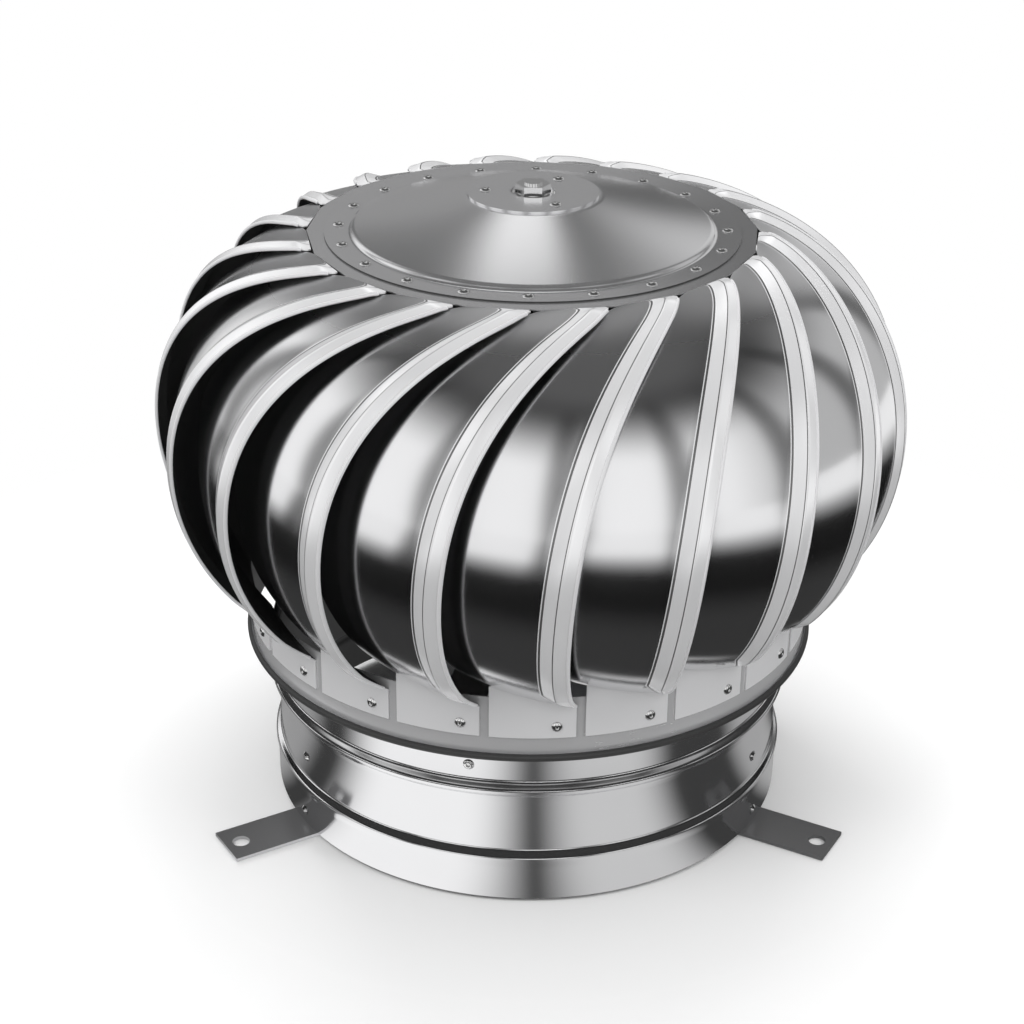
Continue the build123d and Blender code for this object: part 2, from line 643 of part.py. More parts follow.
# ---------------------------------------------------------------- all nodes
save("throat_tube", throat_tube())
save("collar_band", collar_band())
for name, azimuth in zip(("left", "right", "rear"), LEG_AZIMUTHS):
    save(f"leg_{name}", around(leg(), azimuth))
save("leg_rivets", leg_rivets())
save("collar_rivets", collar_rivets())
lower = spider(LOWER_SPIDER_TOP, LEG_IN, LEG_COUNT, HUB_R, JOURNAL_R)
save("lower_spider", around(lower, LEG_AZ))
upper = spider(UPPER_SPIDER_TOP, BORE_R, LEG_COUNT, HUB_R, JOURNAL_R)
save("upper_spider", around(upper, UPPER_SPIDER_AZ))
save("shaft", shaft())
save("spider_nuts", spider_nuts())
save("bearing_sleeve", bearing_sleeve())
save("lower_bearing_inner_ring", inner_ring(LOWER_BEARING_Z))
save("upper_bearing_inner_ring", inner_ring(UPPER_BEARING_Z))
top_nut_z = UPPER_BEARING_TOP + WASHER_H
save("top_washer", ring(THREAD_R, WASHER_R, UPPER_BEARING_TOP, top_nut_z))
save("top_nut", hex_nut(TOP_NUT_FLATS, THREAD_R, top_nut_z, TOP_NUT_H))

save("lower_bearing_outer_ring", outer_ring(LOWER_BEARING_Z))
save("upper_bearing_outer_ring", outer_ring(UPPER_BEARING_Z))
save("upper_bearing_housing", upper_bearing_housing())
save("lower_bearing_housing", lower_bearing_housing())
save("rotor_spider", rotor_spider())
save("housing_rivets", housing_rivets())
save("rotor_band", rotor_band())
save("crown", crown())
save("cap_disc", cap_disc())
save("cap_rivets", cap_rivets())
save("crown_rivets", crown_rivets())
save("band_rivets", band_rivets())
first_vane = vane()
for i in range(VANE_COUNT):
    save(f"vane_{i + 1:02d}", around(first_vane, i * PITCH))
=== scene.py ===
# %% [markdown]
# # A roof turbine ventilator
#
# A turbine ventilator is a globe of twenty curved vanes that the wind turns on a fixed
# shaft.  This script dresses the exact solids of the part: the pieces whose curved metal
# has to reflect cleanly are made again here as smooth meshes from the same dimensions, and
# the flat and small pieces keep their solids and only get a finish.

# %% Load the frame
from math import acos, atan2, cos, degrees, hypot, pi, radians, sin

import bmesh
import bpy
from mathutils import Matrix, Vector


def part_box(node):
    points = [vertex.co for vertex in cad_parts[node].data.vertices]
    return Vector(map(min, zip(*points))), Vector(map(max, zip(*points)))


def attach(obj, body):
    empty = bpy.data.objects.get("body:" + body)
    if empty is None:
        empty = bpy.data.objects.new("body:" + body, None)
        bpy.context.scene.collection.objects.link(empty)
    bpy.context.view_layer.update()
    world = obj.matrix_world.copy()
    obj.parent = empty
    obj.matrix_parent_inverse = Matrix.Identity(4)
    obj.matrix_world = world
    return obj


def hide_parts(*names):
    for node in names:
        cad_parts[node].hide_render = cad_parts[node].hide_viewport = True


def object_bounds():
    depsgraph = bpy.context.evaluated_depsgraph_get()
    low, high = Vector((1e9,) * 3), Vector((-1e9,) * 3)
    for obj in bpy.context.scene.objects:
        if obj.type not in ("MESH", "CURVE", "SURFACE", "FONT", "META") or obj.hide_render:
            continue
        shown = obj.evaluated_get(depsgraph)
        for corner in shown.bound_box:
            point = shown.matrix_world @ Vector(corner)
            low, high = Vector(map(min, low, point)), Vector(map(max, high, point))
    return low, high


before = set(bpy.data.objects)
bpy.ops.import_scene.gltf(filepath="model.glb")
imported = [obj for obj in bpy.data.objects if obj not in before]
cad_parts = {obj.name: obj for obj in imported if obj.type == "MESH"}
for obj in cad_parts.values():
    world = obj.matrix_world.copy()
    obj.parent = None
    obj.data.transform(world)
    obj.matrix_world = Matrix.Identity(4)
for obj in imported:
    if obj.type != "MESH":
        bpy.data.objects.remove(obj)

cad_low, cad_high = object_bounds()
MM = 0.001
print("solid model, mm:", [round((b - a) / MM, 1) for a, b in zip(cad_low, cad_high)])

# %% [markdown]
# ## Measuring the solids
#
# Every mesh below has to sit where its solid sits.  The safest way is to read radii and
# heights from the boxes of the solids, and to write down only what a box can't tell, such
# as the number of vanes or the width of a lip.

# %% Radii and heights from the solids, in millimetres
def radius(node):
    low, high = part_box(node)
    return (high[0] - low[0]) / 2 / MM


def bottom(node):
    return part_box(node)[0][2] / MM


def top(node):
    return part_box(node)[1][2] / MM


SHEET = 0.8
BEAD_HEIGHT, BEAD_WIDTH, LOWER_BEAD_Z = 3.6, 9.0, 28.0
SKIRT_EASE = 2.4
THROAT_R = radius("throat_tube") - BEAD_HEIGHT
THROAT_FOOT, THROAT_TOP = bottom("throat_tube"), top("throat_tube")
SKIRT_R = THROAT_R + SKIRT_EASE

COLLAR_BEAD_LIFT, COLLAR_LIP = 8.0, 2.4
COLLAR_R = THROAT_R + SHEET
COLLAR_FOOT, COLLAR_TOP = bottom("collar_band"), top("collar_band")
COLLAR_BEAD_Z = COLLAR_FOOT + COLLAR_BEAD_LIFT

BAND_GAP, CURL_R, CURL_FLATS = 13.2, 2.2, 8
BAND_IN = THROAT_R + BAND_GAP
BAND_R = BAND_IN + SHEET
BAND_TOP = top("rotor_band")
BAND_BOTTOM = bottom("rotor_band") + CURL_R / cos(radians(180 / CURL_FLATS))

CAP_SHEET, CONE_RISE = 1.2, 17.4
RIM_WIDTH, RIM_STEP, STEP_RUN = 14.0, 2.4, 1.6
CAP_R, CROWN_R = radius("cap_disc"), radius("crown")
CROWN_Z = top("cap_disc") - CAP_SHEET - CONE_RISE - RIM_STEP
CROWN_MID_Z = top("crown")
print("throat radius", THROAT_R, "band radius", BAND_R, "crown", CROWN_R, CROWN_Z)

# %% [markdown]
# ## Two ways to make sheet metal
#
# Spun and rolled pieces (throat, collar, band, crown) are turned: a thin closed outline is
# carried round the shaft.  A screw modifier could do it, but a mesh written ring by ring
# gives even quads and lets every corner of the outline be rounded first, which matters
# because polished metal shows each corner as a bright line.

# %% Meshes from rows of points
def mesh_object(name, verts, faces, sharp_deg=34.0):
    mesh = bpy.data.meshes.new(name)
    mesh.from_pydata([Vector(v) * MM for v in verts], [], faces)
    mesh.update()
    work = bmesh.new()
    work.from_mesh(mesh)
    bmesh.ops.recalc_face_normals(work, faces=work.faces)
    work.to_mesh(mesh)
    work.free()
    mesh.shade_smooth()
    mesh.set_sharp_from_angle(angle=radians(sharp_deg))
    piece = bpy.data.objects.new(name, mesh)
    bpy.context.scene.collection.objects.link(piece)
    return piece


def rounded(points, reach, steps=5):
    """Replace each inner corner of an open outline by a short curve."""
    smooth = [points[0]]
    for before, corner, after in zip(points, points[1:], points[2:]):
        ends = []
        for other in (before, after):
            gap = hypot(other[0] - corner[0], other[1] - corner[1])
            share = min(reach, gap * 0.45) / gap
            ends.append([c + (o - c) * share for c, o in zip(corner, other)])
        for i in range(steps + 1):
            t = i / steps
            smooth.append(
                [
                    a * (1 - t) ** 2 + 2 * c * t * (1 - t) + b * t**2
                    for a, c, b in zip(ends[0], corner, ends[1])
                ]
            )
    return smooth + [points[-1]]


def offset(points, distance):
    """The same open outline, moved sideways by one sheet."""
    moved = []
    for i, point in enumerate(points):
        a, b = points[max(i - 1, 0)], points[min(i + 1, len(points) - 1)]
        run, rise = b[0] - a[0], b[1] - a[1]
        length = hypot(run, rise)
        moved.append([point[0] - rise / length * distance, point[1] + run / length * distance])
    return moved


def turned(name, outline, segments=240, wobble=None):
    """Turn a closed outline of (radius, height) points about the shaft."""
    verts, faces, count = [], [], len(outline)
    for i in range(segments):
        angle = 2 * pi * i / segments
        for r, z in outline:
            r += wobble(angle, r, z) if wobble else 0
            verts.append((r * cos(angle), r * sin(angle), z))
    for i in range(segments):
        for j in range(count):
            a, b = i * count + j, i * count + (j + 1) % count
            c, d = (i + 1) % segments * count + (j + 1) % count, (i + 1) % segments * count + j
            faces.append((a, b, c, d))
    return mesh_object(name, verts, faces)


def turned_sheet(name, outer, segments=240, wobble=None):
    """A turned wall of one sheet, from its outer side walked upward or inward."""
    piece = turned(name, outer + offset(outer, SHEET)[::-1], segments, wobble)
    for face in piece.data.polygons:
        face.material_index = int(face.index % (2 * len(outer)) >= len(outer))
    return piece


# %% [markdown]
# ## The throat and its collar
#
# The throat is a rolled tube with a pressed bead, a little wider under the bead so that it
# slips over a duct.  The collar is a second band riveted round its top.  Hand-rolled sheet
# is never perfectly round, and on a polished tube that shows as reflections that waver, so
# the wall gets a ripple of a tenth of a millimetre.

# %% Throat tube and collar band
CORNER = 1.6
RIPPLE, FINE_RIPPLE = 0.10, 0.05


def bead(wall_r, middle, step=0.0):
    half, crest = BEAD_WIDTH / 2, BEAD_WIDTH / 6
    return [
        (wall_r + step, middle - half),
        (wall_r + BEAD_HEIGHT, middle - crest),
        (wall_r + BEAD_HEIGHT, middle + crest),
        (wall_r, middle + half),
    ]


def ripple(angle, r, z):
    """How far a wall stands off its circle, going slowly round and up."""
    return RIPPLE * sin(3 * angle + z / 40) + FINE_RIPPLE * sin(7 * angle - z / 25)


throat_wall = [(SKIRT_R, THROAT_FOOT)] + bead(THROAT_R, LOWER_BEAD_Z, SKIRT_R - THROAT_R)
throat_wall += [(THROAT_R, THROAT_TOP)]
throat = turned_sheet("throat_skin", rounded(throat_wall, CORNER), wobble=ripple)
collar_wall = [(COLLAR_R, COLLAR_FOOT)] + bead(COLLAR_R, COLLAR_BEAD_Z)
collar_wall += [(COLLAR_R, COLLAR_TOP - COLLAR_LIP), (COLLAR_R + COLLAR_LIP, COLLAR_TOP)]
collar = turned_sheet("collar_skin", rounded(collar_wall, CORNER), wobble=ripple)
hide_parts("throat_tube")
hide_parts("collar_band")
for piece in (throat, collar):
    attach(piece, "base")
print("throat and collar:", len(throat.data.polygons), len(collar.data.polygons), "faces")

# %% [markdown]
# ## The rotor band
#
# The vanes' lower tabs are riveted to a plain band.  Its bottom edge is rolled outward into
# a hollow bead.  It could be a tube laid under the wall, but then the wall would end in a
# seam, so one outline runs three quarters round a small circle and on up the wall.

# %% Rotor band with its rolled edge
CURL_TURN, CURL_STEPS = 270, 18
WALL_LIFT, WALL_STEPS = 4, 8
curl_middle, curl_in = BAND_IN + CURL_R, CURL_R - SHEET
turns = [radians(90 - CURL_TURN * i / CURL_STEPS) for i in range(CURL_STEPS + 1)]
curl = [(curl_middle + curl_in * cos(t), BAND_BOTTOM + curl_in * sin(t)) for t in turns]
wall_foot = BAND_BOTTOM + WALL_LIFT
wall_rise = (BAND_TOP - wall_foot) / WALL_STEPS
band_outer = curl + [(BAND_R, wall_foot + i * wall_rise) for i in range(WALL_STEPS + 1)]
band = turned_sheet("rotor_band_skin", band_outer, wobble=ripple)
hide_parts("rotor_band")
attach(band, "rotor")
print("rotor band:", len(band.data.polygons), "faces")

# %% [markdown]
# ## The crown
#
# One pressed cover closes the globe: a flat rim for the rivets, a small step, a shallow
# cone and a flat middle.  It is turned like the throat, but from more segments, because its
# wide cone shows any flat.  A press leaves soft corners, so they are rounded more as well.

# %% Crown
CROWN_CORNER, CROWN_CORNER_STEPS = 1.8, 7
CAP_SEAT, SHAFT_HOLE_R = 2, 13.0
step_r = CROWN_R - RIM_WIDTH
crown_top = [
    (CROWN_R, CROWN_Z),
    (step_r, CROWN_Z),
    (step_r - STEP_RUN, CROWN_Z + RIM_STEP),
    (CAP_R + CAP_SEAT, CROWN_MID_Z),
    (SHAFT_HOLE_R, CROWN_MID_Z),
]
crown_line = rounded(crown_top, CROWN_CORNER, CROWN_CORNER_STEPS)
crown = turned_sheet("crown_skin", crown_line, segments=320)
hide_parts("crown")
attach(crown, "rotor")
print("crown:", len(crown.data.polygons), "faces")

# %% [markdown]
# ## The vanes
#
# A vane starts as a flat tab on the band, swells out to the globe's widest point and runs
# in under the crown, while its free edge sweeps round by a sixth of a turn.  That edge is
# folded into a narrow ridged lip.  A plane that is bent and twisted by modifiers can't
# follow two different outlines at its two edges, so each vane is a grid of points: rows
# from foot to tip, and across each row the sheet's bow and the lip's ridge.

# %% The vane's dimensions
VANES = 20
PITCH = 360.0 / VANES
VANE_SHEET = 0.8
FIRST_FOOT_AZ = -98.8
GLOBE_BULGE = 46.2
INNER_BULGE = 27.0
EQUATOR_Z = 234.0
FOLD_Z, FOLD_RISE = 133.0, 14.0
LOWER_SWEEP = 54.0
UPPER_FULLNESS = 2.1
TIP_INSET = 17.7
TAB_FOOT_ANGLE, TAB_TIP_ANGLE, VANE_LAP = 16.2, 17.3, 8.0
SWEEP, BACK_BOW = 29.5, 3.6
TAB_BOTTOM = 115.0
LAP_GROWTH = 0.5
LIP_WIDTH, LIP_HEIGHT, LIP_CREST = 15.0, 3.4, 0.44
LIP_START, LIP_END, LIP_FOOT = 0.08, 0.03, 0.3
TIP_TRIM, TRIM_START = 3.4, 0.93
TIP_LEVELS, FOOT_STANDS = 0.92, 0.02
CROSS_BOW = 4.0
TAB_FACETS = 3
TAB_R = (BAND_R + VANE_SHEET) / cos(radians(TAB_FOOT_ANGLE / TAB_FACETS / 2))
TIP_R = CROWN_R + 9.7
TIP_Z = CROWN_Z - SHEET
TAB_REACH = 17.0
print("vane pitch", PITCH, "degrees, tab radius", round(TAB_R, 2))


# %% Outlines of the globe and of the vane's hidden edge
def meridian(bulge, fold_z, fullness):
    """(radius, height) from the fold over the globe's widest point to the crown."""
    steps, widest, sweep = 160, TAB_R + bulge, radians(LOWER_SWEEP)
    a, b = bulge / (1 - cos(sweep)), (EQUATOR_Z - fold_z) / sin(sweep)
    points = []
    for i in range(steps):
        t = sweep * (1 - i / steps)
        points.append((widest - a * (1 - cos(t)), EQUATOR_Z - b * sin(t)))
    centre = TIP_R - TIP_INSET
    tip_t = acos((TIP_INSET / (widest - centre)) ** (fullness / 2))
    rise = (TIP_Z - EQUATOR_Z) / sin(tip_t) ** (2 / fullness)
    for i in range(steps + 1):
        t = tip_t * i / steps
        r = centre + (widest - centre) * cos(t) ** (2 / fullness)
        points.append((r, EQUATOR_Z + rise * sin(t) ** (2 / fullness)))
    return points


def along(points, u):
    """The point at share u of a line's length."""
    lengths = [0.0]
    for (r0, z0), (r1, z1) in zip(points, points[1:]):
        lengths.append(lengths[-1] + hypot(r1 - r0, z1 - z0))
    goal = u * lengths[-1]
    for i in range(1, len(points)):
        if goal <= lengths[i] + 1e-9:
            share = (goal - lengths[i - 1]) / (lengths[i] - lengths[i - 1])
            (r0, z0), (r1, z1) = points[i - 1], points[i]
            return r0 + share * (r1 - r0), z0 + share * (z1 - z0)
    return points[-1]


OUTER_EDGE = meridian(GLOBE_BULGE, FOLD_Z, UPPER_FULLNESS)
INNER_EDGE = meridian(INNER_BULGE, FOLD_Z + FOLD_RISE, 2.0)


# %% Cross-sections of a vane
def lip_azimuth(u):
    return FIRST_FOOT_AZ + SWEEP * u**4 - BACK_BOW * (1 - (2 * u - 1) ** 4)


def vane_angle(u):
    tab = TAB_FOOT_ANGLE + (TAB_TIP_ANGLE - TAB_FOOT_ANGLE) * u
    return tab + VANE_LAP * max(0.0, sin(pi * u)) ** LAP_GROWTH


def polar(r, azimuth, z):
    return Vector((r * cos(radians(azimuth)), r * sin(radians(azimuth)), z))


def vane_frame(u):
    """Both edges at share u of the height, the way across and the way out."""
    r_out, z_out = along(OUTER_EDGE, u)
    r_in, z_in = along(INNER_EDGE, u)
    lip, angle = lip_azimuth(u), vane_angle(u)
    trim = TIP_TRIM * (1 - (1 - max(0.0, (u - TRIM_START) / (1 - TRIM_START)) ** 2) ** 0.5)
    lip, angle = lip - trim, angle - trim
    edge_in, edge_out = polar(r_in, lip - angle, z_in), polar(r_out, lip, z_out)
    ahead, behind = along(OUTER_EDGE, min(u + 0.01, 1)), along(OUTER_EDGE, max(u - 0.01, 0))
    tilt = degrees(atan2(behind[0] - ahead[0], ahead[1] - behind[1]))
    level = max(0.0, u - TIP_LEVELS) / (1 - TIP_LEVELS)
    upright = max(0.0, FOOT_STANDS - u) / FOOT_STANDS
    tilt += (90.0 - tilt) * level - tilt * upright
    outward = polar(cos(radians(tilt)), lip - angle / 2, sin(radians(tilt)))
    chord = (edge_out - edge_in).normalized()
    return edge_in, edge_out, chord, (outward - chord * outward.dot(chord)).normalized()


ACROSS = 18
# faces in the fold at each lip's foot, which get painted shade
CREASES = (ACROSS + 1, ACROSS + 2, ACROSS + 5)
VANE_SIDES = ["sheet", "tab", "lip", "inside", "hem", "crease"]
HEM_R, HEM_SIDES, HEM_STEPS = 1.0, 8, 90
HEM_START, HEM_SPAN = 0.015, 0.965
FOLD_RUN, FOLD_CORNER, FOLD_STEPS = 3, 1.2, 4


def vane_row(u):
    """Outer points of one row: the bowed sheet, then the two faces of the lip."""
    edge_in, edge_out, chord, normal = vane_frame(u)
    width = (edge_out - edge_in).length
    grown = min(1.0, u / LIP_START)
    lip_width = LIP_WIDTH * (LIP_FOOT + (1 - LIP_FOOT) * grown)
    lip_height = LIP_HEIGHT * min(grown, (1 - u) / LIP_END)
    facet = width / (2 * sin(radians(TAB_FOOT_ANGLE / 2)))
    bow = facet * (1 - cos(radians(TAB_FOOT_ANGLE / 2))) * (1 - u) + CROSS_BOW * sin(pi * u)
    sheet, crest = width - lip_width, width - lip_width * LIP_CREST
    ridge = [(sheet, 0.0), (crest, lip_height), (width, lip_height / 2)]
    profile = [(sheet * i / ACROSS, 0.0) for i in range(ACROSS)]
    profile += rounded([(sheet - FOLD_RUN, 0.0)] + ridge, FOLD_CORNER, FOLD_STEPS)[1:]
    points = []
    for x, lift in profile:
        rise = bow * 4 * x * (width - x) / width**2
        points.append(edge_in + chord * x + normal * (rise + lift))
    return points, normal


# %% Twenty vanes with their tabs
def sheet_strip(rows, first=0):
    """A closed sheet from rows of (outer points, normal), and which face shows which side."""
    count = len(rows[0][0])
    outer = [p for points, _ in rows for p in points]
    inner = [p - normal * VANE_SHEET for points, normal in rows for p in points]
    faces, sides, size = [], [], len(outer)
    for i in range(len(rows) - 1):
        for j in range(count - 1):
            a, b = i * count + j, i * count + j + 1
            c, d = b + count, a + count
            faces += [(a, b, c, d), (size + d, size + c, size + b, size + a)]
            fold = "crease" if j in CREASES else "lip"
            sides += ["sheet" if j < ACROSS else fold, "inside"]
    rim = [i * count for i in range(len(rows))]
    rim += [(len(rows) - 1) * count + j for j in range(1, count)]
    rim += [i * count + count - 1 for i in range(len(rows) - 2, -1, -1)]
    rim += [j for j in range(count - 2, 0, -1)]
    for a, b in zip(rim, rim[1:] + rim[:1]):
        faces.append((a, b, size + b, size + a))
        sides.append("lip")
    return outer + inner, [tuple(k + first for k in face) for face in faces], sides


def hem(first):
    """The free edge folded back on itself: a thin closed roll along the lip."""
    path = []
    for i in range(HEM_STEPS + 1):
        points, normal = vane_row(HEM_START + HEM_SPAN * i / HEM_STEPS)
        side = (points[-1] - points[-2]).normalized()
        path.append((points[-1] - normal * VANE_SHEET / 2, normal, side))
    verts, faces = [], []
    for centre, normal, side in path:
        for k in range(HEM_SIDES):
            angle = 2 * pi * k / HEM_SIDES
            verts.append(centre + (normal * cos(angle) + side * sin(angle)) * HEM_R)
    for i in range(HEM_STEPS):
        for k in range(HEM_SIDES):
            a, b = i * HEM_SIDES + k, i * HEM_SIDES + (k + 1) % HEM_SIDES
            faces.append((a, b, b + HEM_SIDES, a + HEM_SIDES))
    last = HEM_STEPS * HEM_SIDES
    faces += [tuple(range(HEM_SIDES - 1, -1, -1)), tuple(range(last, last + HEM_SIDES))]
    return verts, [tuple(k + first for k in face) for face in faces]


TAB_STEPS, VANE_ROWS = 4, 96
EVEN_ROWS, CROWDED_ROWS = 0.7, 0.3
VANE_SHARP = 24.0


def vane_mesh(name, turn):
    """Tab, blade and hem of one vane; rows lie closer together at both ends."""
    fold, flat = vane_row(0)
    tab_rows = []
    for i in range(TAB_STEPS + 1):
        rise = i / TAB_STEPS
        points = [Vector((p.x, p.y, TAB_BOTTOM + (p.z - TAB_BOTTOM) * rise)) for p in fold]
        tab_rows.append((points, flat))
    blade_rows = []
    for i in range(VANE_ROWS + 1):
        t = i / VANE_ROWS
        blade_rows.append(vane_row(EVEN_ROWS * t + CROWDED_ROWS * (0.5 - 0.5 * cos(pi * t))))
    verts, faces, sides = sheet_strip(tab_rows)
    sides = ["inside" if side == "inside" else "tab" for side in sides]
    more, more_faces, more_sides = sheet_strip(blade_rows, len(verts))
    roll, roll_faces = hem(len(verts) + len(more))
    spin = Matrix.Rotation(radians(turn), 3, "Z")
    faces += more_faces + roll_faces
    sides += more_sides + ["hem"] * len(roll_faces)
    blade = mesh_object(name, [spin @ v for v in verts + more + roll], faces, VANE_SHARP)
    for face, side in zip(blade.data.polygons, sides):
        face.material_index = VANE_SIDES.index(side)
    return blade


TIP_SLOT, TIP_STEPS = 0.02, 8


def tip_tab(name, turn):
    """The flat tab at a vane's tip that lies under the crown's rim."""
    lip = FIRST_FOOT_AZ + SWEEP + turn
    rim_r = CROWN_R - TAB_REACH
    spans = [lip - (PITCH - TIP_SLOT) * i / TIP_STEPS for i in range(TIP_STEPS + 1)]
    outline = [polar(TIP_R, spans[0], TIP_Z), polar(TIP_R, spans[-1], TIP_Z)]
    outline += [polar(rim_r, a, TIP_Z) for a in spans[::-1]]
    verts = outline + [p - Vector((0, 0, VANE_SHEET)) for p in outline]
    n = len(outline)
    faces = [tuple(range(n)), tuple(range(2 * n - 1, n - 1, -1))]
    faces += [(i, (i + 1) % n, n + (i + 1) % n, n + i) for i in range(n)]
    return mesh_object(name, verts, faces)


vanes = []
for i in range(VANES):
    blade = vane_mesh(f"vane_skin_{i + 1:02d}", i * PITCH)
    tab = tip_tab(f"vane_tab_{i + 1:02d}", i * PITCH)
    tab.parent = blade
    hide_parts(f"vane_{i + 1:02d}")
    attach(blade, "rotor")
    vanes.append((blade, tab))
print("one vane:", len(vanes[0][0].data.polygons), "faces")

# %% [markdown]
# ## Pop rivets
#
# A pop rivet has a low domed head with a small crater where its pin broke off, and a
# swollen tail behind the sheets.  A bevelled cylinder can't show the crater, so one outline
# is turned for each rivet.  Where each one sits is read from its solid.

# %% Rivets at the places of their solids
HEAD_R, HEAD_HEIGHT, SHANK_R = 3.2, 1.3, 1.6


def loose_parts(mesh):
    """The corners of each separate solid of a mesh, in millimetres."""
    parent = list(range(len(mesh.vertices)))

    def root(i):
        while parent[i] != i:
            parent[i] = parent[parent[i]]
            i = parent[i]
        return i

    merged = {}
    for vertex in mesh.vertices:
        key = tuple(round(c, 6) for c in vertex.co)
        parent[vertex.index] = merged.setdefault(key, vertex.index)
    for edge in mesh.edges:
        a, b = root(edge.vertices[0]), root(edge.vertices[1])
        parent[a] = b
    groups = {}
    for vertex in mesh.vertices:
        groups.setdefault(root(vertex.index), []).append(vertex.co / MM)
    return list(groups.values())


def rivet_outline(length):
    """Radius and depth below the head's top, from the crater round to the tail."""
    dome = [(0.0, 0.75), (0.7, 0.75), (0.95, 0.14), (1.2, 0.0), (1.6, 0.03), (2.2, 0.26)]
    dome += [(2.75, 0.65), (3.1, 1.05), (HEAD_R, HEAD_HEIGHT), (SHANK_R, HEAD_HEIGHT)]
    return dome + [(SHANK_R, length - 1.0), (2.0, length - 0.6), (1.7, length), (0.0, length)]


RIVET_SIDES, RIVET_SHARP = 20, 50.0


def rivet_group(node, body, upright):
    """One mesh of all the rivets of a node, whose heads face up or away from the shaft."""
    verts, faces = [], []
    for corners in loose_parts(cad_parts[node].data):
        middle = sum(corners, Vector()) / len(corners)
        out = Vector((0, 0, 1)) if upright else Vector((middle.x, middle.y, 0)).normalized()
        depths = [corner.dot(out) for corner in corners]
        head = middle + out * (max(depths) - middle.dot(out))
        across = out.orthogonal().normalized()
        level = out.cross(across)
        outline = rivet_outline(max(depths) - min(depths))
        first, n = len(verts), len(outline)
        for k in range(RIVET_SIDES):
            angle = 2 * pi * k / RIVET_SIDES
            spoke = across * cos(angle) + level * sin(angle)
            verts += [head + spoke * max(r, 0.01) - out * d for r, d in outline]
        for k in range(RIVET_SIDES):
            a, b = first + k * n, first + (k + 1) % RIVET_SIDES * n
            faces += [(a + i, b + i, b + i + 1, a + i + 1) for i in range(n - 1)]
        faces.append(tuple(first + k * n for k in range(RIVET_SIDES)))
        faces.append(tuple(first + k * n + n - 1 for k in range(RIVET_SIDES)))
    piece = mesh_object(f"{node}_skin", verts, faces, RIVET_SHARP)
    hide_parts(node)
    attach(piece, body)
    return piece


rivets = [
    rivet_group("band_rivets", "rotor", False),
    rivet_group("crown_rivets", "rotor", True),
    rivet_group("cap_rivets", "rotor", True),
    rivet_group("collar_rivets", "base", False),
]
print("rivet groups:", [piece.name for piece in rivets])

# %% [markdown]
# ## Shader maths as plain expressions
#
# A polished sheet needs several masks added, multiplied and clamped.  Writing each as a
# chain of Math nodes hides the formula, so a small class wraps a socket and turns ordinary
# operators into nodes.

# %% A socket that can be added and multiplied
def join(tree, slot, value):
    """Link a socket to a slot, or set the slot to a constant."""
    if isinstance(value, Socket):
        tree.links.new(value.socket, slot)
    else:
        slot.default_value = value


class Socket:
    """An output socket; arithmetic on it adds Math nodes to its tree."""

    def __init__(self, tree, socket):
        self.tree, self.socket = tree, socket

    def math(self, operation, left, right=None):
        node = self.tree.nodes.new("ShaderNodeMath")
        node.operation = operation
        for slot, value in zip(node.inputs, (left, right)):
            if value is not None:
                join(self.tree, slot, value)
        return Socket(self.tree, node.outputs[0])

    def __add__(self, other):
        return self.math("ADD", self, other)

    def __radd__(self, other):
        return self.math("ADD", other, self)

    def __sub__(self, other):
        return self.math("SUBTRACT", self, other)

    def __rsub__(self, other):
        return self.math("SUBTRACT", other, self)

    def __mul__(self, other):
        return self.math("MULTIPLY", self, other)

    def __rmul__(self, other):
        return self.math("MULTIPLY", other, self)

    def __truediv__(self, other):
        return self.math("DIVIDE", self, other)

    def __pow__(self, other):
        return self.math("POWER", self, other)

    def cosine(self):
        return self.math("COSINE", self)

    def clamped(self):
        return self.math("MAXIMUM", self.math("MINIMUM", self, 1.0), 0.0)


# %% The one way to add a node to a tree
class Tree:
    """A node tree of a material or of the world."""

    def __init__(self, tree):
        self.tree = tree

    def node(self, kind, settings=None, output=0, **values):
        """Add a node: settings first, then the values or links of its sockets.

        A socket goes by its name, or by its number, as _3, where names repeat.
        """
        node = self.tree.nodes.new(kind)
        for key, value in (settings or {}).items():
            setattr(node, key, value)
        for key, value in values.items():
            slot = int(key[1:]) if key[0] == "_" else key
            join(self.tree, node.inputs[slot], value)
        return Socket(self.tree, node.outputs[output])


# %% A material and what its finish is made from
class Finish(Tree):
    """One material: its node tree and its main shader."""

    def __init__(self, name):
        self.material = bpy.data.materials.new(name)
        self.material.use_nodes = True
        super().__init__(self.material.node_tree)
        self.shader = self.tree.nodes["Principled BSDF"]

    def feed(self, name, value):
        join(self.tree, self.shader.inputs[name], value)

    def where(self):
        """Object coordinates in metres."""
        return self.node("ShaderNodeTexCoord", output="Object")

    def parts(self):
        """The three object coordinates apart."""
        where = self.where()
        return [self.node("ShaderNodeSeparateXYZ", None, axis, _0=where) for axis in "XYZ"]

    def noise(self, scale, detail):
        """Noise in object coordinates, stretched by a scale for each axis."""
        place = self.node("ShaderNodeMapping", _0=self.where(), _3=scale)
        return self.node("ShaderNodeTexNoise", _0=place, Scale=1.0, Detail=detail)

    def rings(self, scale):
        """Fine lines round the shaft, as a spinning tool or a pad leaves them."""
        kind, line = "ShaderNodeVectorMath", {"noise_dimensions": "1D"}
        flat = self.node(kind, {"operation": "MULTIPLY"}, _0=self.where(), _1=(1, 1, 0))
        reach = self.node(kind, {"operation": "LENGTH"}, "Value", _0=flat)
        return self.node("ShaderNodeTexNoise", line, W=reach * scale, Detail=3.0)
